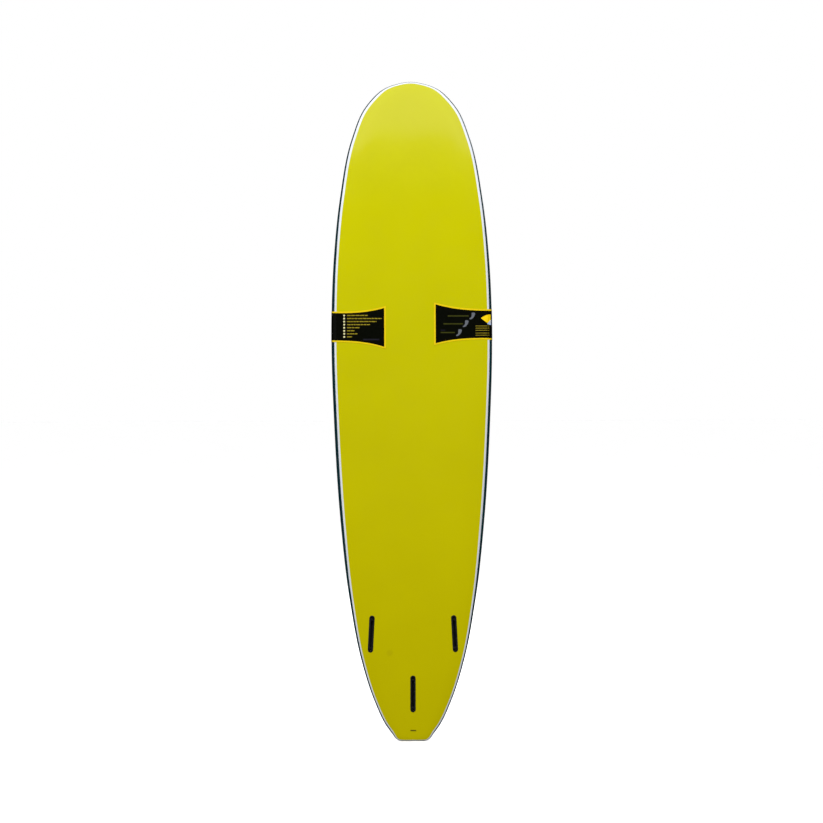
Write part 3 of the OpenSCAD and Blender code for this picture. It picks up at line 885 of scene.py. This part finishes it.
def print_piece(name, shapes, raise_by, base=BAND_GAP + BAND_T):
    """Thin raised print on the bottom: shapes are lists of columns (x, lowest z, highest z)"""
    bm = bmesh.new()
    for shape in shapes:
        rows = []
        steps = math.ceil(max(high - low for x, low, high in shape) / PRINT_ROW_STEP)
        for x, low, high in refined(shape):
            heights = evenly(low, high, steps)
            loop = [print_point(x, z, base + raise_by) for z in heights]
            loop += [print_point(x, z, base - raise_by) for z in heights[::-1]]
            rows.append(add_ring(bm, loop))
        for before, after in zip(rows, rows[1:]):
            bridge(bm, before, after)
        bm.faces.new(rows[0])
        bm.faces.new(rows[-1])
    return finished(bm, name)


def print_point(x, z, grow):
    step = 0.5 * MM
    slope = (under_height(x + step, z) - under_height(x - step, z)) / (2 * step)
    outwards = Vector((slope, -1)).normalized() * grow
    return (x + outwards.x, bottom_y(z) + under_height(x, z) + outwards.y, z)


# ---- The band's printed marks: plain bars, dots and leaf shapes instead of words ----

# All sizes of the marks are in millimetres. Each dot of a column has a line of bars to its right
DOT_X = -248.5
DOT_R = 3.4
DOT_STEPS = 12
LINE_START_X = -238
LINE_ENDS_X = [-162, -111, -130, -154, -192, -211, -200, -219]
LINE_TOP_Z = 1566.5
LINE_PITCH = 11.2
LINE_H = 3.6
WORD_GAP = 1.6
WORD_LENGTHS = (7, 17)
WORD_SEED = 5
# Bars: lowest x, highest x, z, height
CAPTIONS = [(131, 208, 1564, 4.2), (115, 187, 1535, 4.2), (105, 157, 1503, 4.2)]
FINE_LINES = [(233, 283, z, 2) for z in (1527, 1519, 1511, 1501, 1493)]
FAINT_BARS = [(-179, -120, 1478, 5), (105, 122, 1512, 3)]
TAIL_DASH = (-9.5, 11.5, 40, 5)
# Leaves: x of the tip and of the end, z of the tip and of the end, half height of the end
GOLD_LEAF = (253, 288, 1556, 1552, 17)
PALE_LEAF = (276, 290, 1535, 1541, 9)
LEAF_STEPS = 10
# A pointed end is cut to this part of the shape's half height, so that it stays a closed solid
POINT_SHARE = 0.02
FIN_MARKS = [(222, 1564), (198, 1536), (173, 1503)]
# A small swept-back fin from its tip's side to its base's: x, lowest and highest z
FIN_OUTLINE = [
    (-11.5, -11, -9.5), (-9, -13, -8), (-5.5, -12.5, -5), (-3.5, -12, -2), (-3, -11.5, 11),
    (0, -9.5, 12), (3.5, -6, 12), (7, -1, 11.5), (9.5, 6, 10.5),
]


def in_metres(columns):
    return [(x * MM, low * MM, high * MM) for x, low, high in columns]


def bar(x_low, x_high, z, height):
    ends = (z - height / 2, z + height / 2)
    return in_metres([(x_low, *ends), (x_high, *ends)])


def dot(x, z, r):
    columns = []
    for k in range(DOT_STEPS + 1):
        a = math.pi * k / DOT_STEPS
        half = max(r * math.sin(a), POINT_SHARE * r)
        columns.append((x - r * math.cos(a), z - half, z + half))
    return in_metres(columns)


def leaf(x_tip, x_end, z_tip, z_end, half_end):
    """A pointed shape that widens from its tip towards its end"""
    columns = []
    for k in range(LEAF_STEPS + 1):
        part = k / LEAF_STEPS
        half = max(half_end * math.sin(part * math.pi / 2), POINT_SHARE * half_end)
        z = z_tip + (z_end - z_tip) * part
        columns.append((x_tip + (x_end - x_tip) * part, z - half, z + half))
    return in_metres(columns)


def fin_mark(x, z):
    return in_metres([(x + dx, z + low, z + high) for dx, low, high in FIN_OUTLINE])


def word_bars(x_low, x_high, z, dice):
    """A line of bars with word-like gaps"""
    bars = []
    x = x_low
    while x < x_high:
        end = min(x + dice.uniform(*WORD_LENGTHS), x_high)
        bars.append(bar(x, end, z, LINE_H))
        x = end + WORD_GAP
    return bars


def make_marks(paints):
    dice = random.Random(WORD_SEED)
    dots, lines = [], []
    for k, end in enumerate(LINE_ENDS_X):
        z = LINE_TOP_Z - k * LINE_PITCH
        dots.append(dot(DOT_X, z, DOT_R))
        lines += word_bars(LINE_START_X, end, z, dice)
    groups = {
        "band_dots": (dots, "print_cream", PRINT_RAISE),
        "band_word_bars": (lines, "print_olive", PRINT_RAISE),
        "band_fine_lines": ([bar(*b) for b in FINE_LINES], "print_olive", PRINT_RAISE),
        "band_faint_bar": ([bar(*b) for b in FAINT_BARS], "print_grey", PRINT_RAISE),
        "band_caption_bars": ([bar(*b) for b in CAPTIONS], "print_dim", PRINT_RAISE),
        "band_fin_marks": ([fin_mark(*f) for f in FIN_MARKS], "print_silver", PRINT_RAISE),
        "band_gold_leaf": ([leaf(*GOLD_LEAF)], "leaf_gold", LEAF_RAISE),
        "band_pale_leaf": ([leaf(*PALE_LEAF)], "print_pale", LEAF_RAISE),
    }
    for name, (shapes, paint, raise_by) in groups.items():
        dress(print_piece(name, shapes, raise_by), paints[paint], "band_print")
    dash = print_piece("tail_dash", [bar(*TAIL_DASH)], PRINT_RAISE, base=0.0)
    dress(dash, paints["print_brown"], "band_print")


# ---- Materials ----


class Paint:
    """A procedural material: one Principled shader, and the nodes that feed it"""

    def __init__(self, name, **sockets):
        self.material = bpy.data.materials.new(name)
        self.material.use_nodes = True
        self.tree = self.material.node_tree
        self.shader = self.tree.nodes["Principled BSDF"]
        for socket, value in sockets.items():
            self.shader.inputs[socket.replace("_", " ")].default_value = value
        self.coordinates = self.tree.nodes.new("ShaderNodeTexCoord").outputs["Object"]

    def add(self, kind, inputs=None, **settings):
        node = self.tree.nodes.new(kind)
        for name, value in settings.items():
            setattr(node, name, value)
        for name, value in (inputs or {}).items():
            if isinstance(value, bpy.types.NodeSocket):
                self.tree.links.new(value, node.inputs[name])
            else:
                node.inputs[name].default_value = value
        return node

    def place(self, stretch=(1, 1, 1)):
        """The object's own coordinates, stretched along each axis"""
        return self.add("ShaderNodeMapping", {"Vector": self.coordinates, "Scale": stretch}).outputs[0]

    def noise(self, scale, detail=3.0, rough=0.5, stretch=(1, 1, 1)):
        inputs = {"Vector": self.place(stretch), "Scale": scale, "Detail": detail, "Roughness": rough}
        return self.add("ShaderNodeTexNoise", inputs).outputs[0]

    def cells(self, scale, feature="F1", stretch=(1, 1, 1)):
        inputs = {"Vector": self.place(stretch), "Scale": scale}
        return self.add("ShaderNodeTexVoronoi", inputs, feature=feature).outputs["Distance"]

    def ramp(self, value, low, high, dark, light):
        """Colour from dark to light as value goes from low to high"""
        node = self.add("ShaderNodeValToRGB", {"Fac": value})
        ends = node.color_ramp.elements
        ends[0].position, ends[0].color = low, (*dark, 1)
        ends[1].position, ends[1].color = high, (*light, 1)
        return node.outputs[0]

    def between(self, value, low, high, to_low, to_high):
        inputs = {"Value": value, "From Min": low, "From Max": high, "To Min": to_low, "To Max": to_high}
        return self.add("ShaderNodeMapRange", inputs).outputs[0]

    def mix(self, factor, first, second, blend="MIX"):
        node = self.add("ShaderNodeMix", data_type="RGBA", blend_type=blend)
        for index, value in ((0, factor), (6, first), (7, second)):
            if isinstance(value, bpy.types.NodeSocket):
                self.tree.links.new(value, node.inputs[index])
            elif index:
                node.inputs[index].default_value = (*value, 1)
            else:
                node.inputs[index].default_value = value
        return node.outputs[2]

    def axis(self, name):
        return self.add("ShaderNodeSeparateXYZ", {"Vector": self.coordinates}).outputs[name]

    def feed(self, socket, value):
        self.tree.links.new(value, self.shader.inputs[socket])

    def bump(self, height, distance, strength=1.0, over=None):
        inputs = {"Height": height, "Distance": distance, "Strength": strength}
        if over:
            inputs["Normal"] = over
        return self.add("ShaderNodeBump", inputs).outputs[0]


def srgb(red, green, blue):
    """A colour given as the eye sees it, 0 to 255, as the shader wants it"""
    def linear(value):
        value /= 255
        return value / 12.92 if value <= 0.04045 else ((value + 0.055) / 1.055) ** 2.4

    return (linear(red), linear(green), linear(blue))


# A faint round stain in the slick, between the left fin box and the centre one
STAIN_PLACE = (-85 * MM, bottom_y(328 * MM), 328 * MM)
STAIN_R = 12 * MM


def slick_paint():
    """Yellow polyethylene: satin, faintly mottled, with fine scuffs along the board, and a painted tint
    of light that turns it a little greener towards the nose
    """
    p = Paint("slick_yellow", Specular_IOR_Level=0.3)
    length = p.between(p.axis("Z"), 0, BOARD_L, 0, 1)
    # Painted light: the base colour goes from a redder yellow at the tail to a greener yellow at the
    # nose, standing in for the tint the light gives along the board
    base = p.ramp(length, 0.0, 1.0, srgb(178, 168, 1), srgb(174, 173, 1))
    mottle = p.noise(5.5, detail=4)
    deeper = p.mix(p.between(mottle, 0.35, 0.7, 0.0, 0.08), base, srgb(140, 128, 1))
    spot = p.add("ShaderNodeVectorMath", {0: p.coordinates, 1: STAIN_PLACE}, operation="DISTANCE")
    stained = p.mix(
        p.between(spot.outputs["Value"], 0.6 * STAIN_R, 1.2 * STAIN_R, 0.14, 0.0),
        deeper,
        srgb(120, 110, 20),
    )
    scuffs = p.noise(60, detail=5, rough=0.65, stretch=(1.6, 1, 0.05))
    scuffed = p.mix(p.between(scuffs, 0.62, 0.8, 0.0, 0.05), stained, srgb(190, 186, 60))
    p.feed("Base Color", scuffed)
    p.feed("Roughness", p.between(p.noise(22, detail=4), 0.3, 0.7, 0.09, 0.13))
    peel = p.bump(p.noise(160, detail=2), 0.0002, 0.25)
    p.feed("Normal", p.bump(scuffs, 0.0002, 0.2, over=peel))
    return p.material


def deck_paint():
    """Petrol closed-cell foam with a fine leather grain"""
    p = Paint("foam_petrol", Specular_IOR_Level=0.1)
    tone = p.noise(7, detail=5)
    base = p.ramp(tone, 0.3, 0.75, srgb(5, 35, 40), srgb(10, 46, 51))
    grain = p.cells(340, feature="DISTANCE_TO_EDGE")
    worn = p.noise(38, detail=6, rough=0.7)
    speckled = p.mix(p.between(worn, 0.6, 0.78, 0, 0.2), base, srgb(28, 70, 75))
    p.feed("Base Color", speckled)
    p.feed("Roughness", p.between(tone, 0.3, 0.7, 0.55, 0.72))
    pebbled = p.bump(grain, 0.0006, 0.5)
    p.feed("Normal", p.bump(p.noise(95, detail=3), 0.0006, 0.35, over=pebbled))
    return p.material


def seam_paint():
    """White welded foam strip"""
    p = Paint("strip_white", Specular_IOR_Level=0.4)
    tone = p.noise(14, detail=4)
    p.feed("Base Color", p.ramp(tone, 0.3, 0.75, srgb(198, 203, 208), srgb(207, 211, 218)))
    p.feed("Roughness", p.between(tone, 0.3, 0.7, 0.4, 0.55))
    p.feed("Normal", p.bump(p.noise(220, detail=3), 0.0003, 0.3))
    return p.material


def print_paint(name, colour, roughness=0.35):
    """A printed film colour with a little ink mottle"""
    p = Paint(name, Specular_IOR_Level=0.15)
    ink = p.noise(90, detail=4)
    deeper = tuple(value * 0.86 for value in colour)
    p.feed("Base Color", p.ramp(ink, 0.3, 0.7, deeper, colour))
    p.feed("Roughness", p.between(ink, 0.3, 0.7, roughness, roughness + 0.1))
    p.feed("Normal", p.bump(p.noise(240, detail=2), 0.0001, 0.2))
    return p.material


def nylon_paint():
    """Moulded black nylon with a fine spark-eroded texture"""
    p = Paint("nylon_black", Specular_IOR_Level=0.4)
    tone = p.noise(60, detail=4)
    p.feed("Base Color", p.ramp(tone, 0.3, 0.75, srgb(14, 14, 17), srgb(30, 30, 34)))
    p.feed("Roughness", p.between(tone, 0.3, 0.7, 0.38, 0.52))
    p.feed("Normal", p.bump(p.noise(1400, detail=2), 0.0001, 0.4))
    return p.material


def metal_paint(name, dark, light, stretch):
    """Turned metal with fine marks"""
    p = Paint(name, Metallic=1.0)
    marks = p.noise(900, detail=4, stretch=stretch)
    p.feed("Base Color", p.ramp(marks, 0.3, 0.7, dark, light))
    p.feed("Roughness", p.between(marks, 0.3, 0.7, 0.4, 0.55))
    p.feed("Normal", p.bump(marks, 0.00005, 0.3))
    return p.material


def bead_foam_paint():
    """White bead foam: rounded cells pressed together"""
    p = Paint("bead_foam", Specular_IOR_Level=0.3)
    beads = p.cells(260)
    p.feed("Base Color", p.ramp(beads, 0.1, 0.8, srgb(246, 246, 242), srgb(218, 219, 214)))
    p.feed("Roughness", p.between(beads, 0, 1, 0.6, 0.85))
    p.feed("Normal", p.bump(p.cells(260, feature="SMOOTH_F1"), -0.0008, 0.6))
    return p.material


def ply_paint():
    """Thin plywood: grain along the board, layers across its thickness"""
    p = Paint("ply", Specular_IOR_Level=0.3)
    grain = p.noise(70, detail=6, rough=0.6, stretch=(1, 1, 0.06))
    plies = p.between(p.cells(900, stretch=(1, 0.001, 0.001)), 0, 0.6, 0, 0.5)
    wood = p.ramp(grain, 0.3, 0.7, srgb(170, 128, 82), srgb(216, 182, 132))
    p.feed("Base Color", p.mix(plies, wood, srgb(132, 92, 56)))
    p.feed("Roughness", p.between(grain, 0.3, 0.7, 0.5, 0.7))
    p.feed("Normal", p.bump(grain, 0.0003, 0.4))
    return p.material


def plain_foam_paint(name, dark, light, scale):
    """Cut foam sheet or block with small open cells"""
    p = Paint(name, Specular_IOR_Level=0.3)
    pores = p.cells(scale)
    p.feed("Base Color", p.ramp(pores, 0.1, 0.7, light, dark))
    p.feed("Roughness", p.between(pores, 0, 1, 0.65, 0.85))
    p.feed("Normal", p.bump(pores, 0.0004, 0.5))
    return p.material


def make_paints():
    return {
        "slick_bottom": slick_paint(),
        "deck_foam": deck_paint(),
        "seam_strip": seam_paint(),
        "band_black": print_paint("band_black", srgb(5, 6, 2)),
        "band_gold": print_paint("band_gold", srgb(214, 185, 1)),
        "leaf_gold": print_paint("leaf_gold", srgb(228, 194, 1)),
        "print_cream": print_paint("print_cream", srgb(205, 200, 150)),
        "print_olive": print_paint("print_olive", srgb(138, 124, 26)),
        "print_grey": print_paint("print_grey", srgb(28, 27, 38)),
        "print_dim": print_paint("print_dim", srgb(56, 58, 14)),
        "print_brown": print_paint("print_brown", srgb(84, 76, 14)),
        "print_silver": print_paint("print_silver", srgb(94, 98, 105)),
        "print_pale": print_paint("print_pale", srgb(165, 185, 220)),
        "box_nylon": nylon_paint(),
        "screw_steel": metal_paint("steel_dull", srgb(92, 94, 98), srgb(140, 142, 146), (1, 1, 0.1)),
        "insert_brass": metal_paint("brass", srgb(168, 134, 70), srgb(212, 178, 104), (1, 1, 0.1)),
        "core_foam": bead_foam_paint(),
        "stringer_ply": ply_paint(),
        "liner_foam": plain_foam_paint("liner_foam", srgb(206, 206, 200), srgb(234, 234, 228), 700),
        "block_foam": plain_foam_paint("block_foam", srgb(108, 110, 114), srgb(150, 152, 156), 420),
    }


def paint_kept_nodes(frame, paints):
    """The inner CAD nodes stay as they are and get their slot's material"""
    for subpart in frame["record"]["subparts"]:
        node = frame["nodes"][subpart["node"]]
        if not node.hide_render:
            material = paints[subpart["material_slot"]]
            for slot in node.material_slots:
                slot.material = material


# ---- Studio ----

CAMERA_DISTANCE = 9.0
# The camera stands a little to the left of the board and looks at this point of it
CAMERA_X = -0.2
VIEW_X = -0.0016
VIEW_Z = 1.214
# Height that the view takes in at the board
VIEW_HEIGHT = 3.034
SENSOR = 36.0
CAMERA_ROLL = math.radians(0.18)


def make_camera():
    camera = bpy.data.cameras.new("camera")
    camera.sensor_width = SENSOR
    camera.lens = SENSOR * CAMERA_DISTANCE / VIEW_HEIGHT
    holder = bpy.data.objects.new("camera", camera)
    bpy.context.scene.collection.objects.link(holder)
    place = Vector((CAMERA_X, -CAMERA_DISTANCE, VIEW_Z))
    aim = (Vector((VIEW_X, 0, VIEW_Z)) - place).to_track_quat("-Z", "Y").to_matrix().to_4x4()
    roll = Matrix.Rotation(-CAMERA_ROLL, 4, "Z")
    holder.matrix_world = Matrix.Translation(place) @ aim @ roll
    bpy.context.scene.camera = holder


def add_softbox(name, place, size, watts, aim=(0, 0, 1.3)):
    """A soft light for the whole board, aimed a little above its middle"""
    light = bpy.data.lights.new(name, "AREA")
    light.shape = "RECTANGLE"
    light.size, light.size_y = size
    light.energy = watts
    holder = bpy.data.objects.new(name, light)
    bpy.context.scene.collection.objects.link(holder)
    holder.location = place
    holder.rotation_euler = (Vector(aim) - Vector(place)).to_track_quat("-Z", "Y").to_euler()
    holder.visible_camera = False
    return holder


def make_lights():
    """The front light is split in two: one lights the colours, the other gives the nose its sheen"""
    front = add_softbox("softbox_front", (0, -6.0, 6.2), (6.0, 3.6), 635)
    front.visible_glossy = False
    sheen = add_softbox("softbox_sheen", (0, -6.0, 7.0), (6.0, 3.6), 115)
    sheen.visible_diffuse = False
    add_softbox("softbox_left", (-5.0, -2.5, 2.2), (2.4, 3.2), 15)
    add_softbox("softbox_back", (2.5, 6.0, 4.5), (5.0, 3.0), 350)


def map_range(tree, value, low, high, to_low, to_high):
    node = tree.nodes.new("ShaderNodeMapRange")
    tree.links.new(value, node.inputs["Value"])
    for name, number in (
        ("From Min", low), ("From Max", high), ("To Min", to_low), ("To Max", to_high)
    ):
        node.inputs[name].default_value = number
    return node.outputs[0]


def make_world():
    """A white room: little light comes from its floor, and none from its far right"""
    world = bpy.data.worlds.new("white_room")
    world.use_nodes = True
    tree = world.node_tree
    background = tree.nodes["Background"]
    direction = tree.nodes.new("ShaderNodeTexCoord").outputs["Generated"]
    split = tree.nodes.new("ShaderNodeSeparateXYZ")
    tree.links.new(direction, split.inputs[0])
    shade_of_height = tree.nodes.new("ShaderNodeValToRGB")
    dark, light = shade_of_height.color_ramp.elements
    dark.position, dark.color = 0.45, (0.10, 0.10, 0.10, 1)
    light.position, light.color = 0.49, (1.0, 1.0, 1.0, 1)
    height = map_range(tree, split.outputs["Z"], -1.0, 1.0, 0.0, 1.0)
    tree.links.new(height, shade_of_height.inputs[0])
    tree.links.new(shade_of_height.outputs[0], background.inputs["Color"])
    left_light = map_range(tree, split.outputs["X"], 0.65, 0.9, 1.0, 0.0)
    tree.links.new(left_light, background.inputs["Strength"])
    bpy.context.scene.world = world
    world.cycles_visibility.glossy = False


FLOOR_HALF = 300.0
FLOOR_CELLS = 8


def make_floor():
    bm = bmesh.new()
    bmesh.ops.create_grid(bm, x_segments=FLOOR_CELLS, y_segments=FLOOR_CELLS, size=FLOOR_HALF)
    floor = finished(bm, "studio_floor", body=None, closed=False)
    p = Paint("floor_white", Specular_IOR_Level=0.1, Roughness=0.9, Emission_Strength=0.15)
    p.shader.inputs["Emission Color"].default_value = (1, 1, 1, 1)
    p.feed("Base Color", p.ramp(p.noise(0.8), 0.3, 0.7, (0.93, 0.93, 0.93), (0.96, 0.96, 0.96)))
    floor.data.materials.append(p.material)
    floor.visible_diffuse = False
    floor.visible_glossy = False


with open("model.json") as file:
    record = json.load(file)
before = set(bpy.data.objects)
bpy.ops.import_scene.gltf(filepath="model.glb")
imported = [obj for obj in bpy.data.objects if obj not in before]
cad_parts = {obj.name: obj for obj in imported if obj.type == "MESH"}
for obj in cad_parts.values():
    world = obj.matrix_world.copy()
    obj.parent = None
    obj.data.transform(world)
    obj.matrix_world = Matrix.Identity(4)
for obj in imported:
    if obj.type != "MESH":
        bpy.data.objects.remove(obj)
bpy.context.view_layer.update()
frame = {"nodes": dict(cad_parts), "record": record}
bpy.context.scene.view_settings.view_transform = "Standard"
make_camera()
make_lights()
make_world()
make_floor()
paints = make_paints()
make_skins(paints)
make_fin_hardware(paints)
make_leash_cup(paints)
make_band(paints)
make_marks(paints)
paint_kept_nodes(frame, paints)
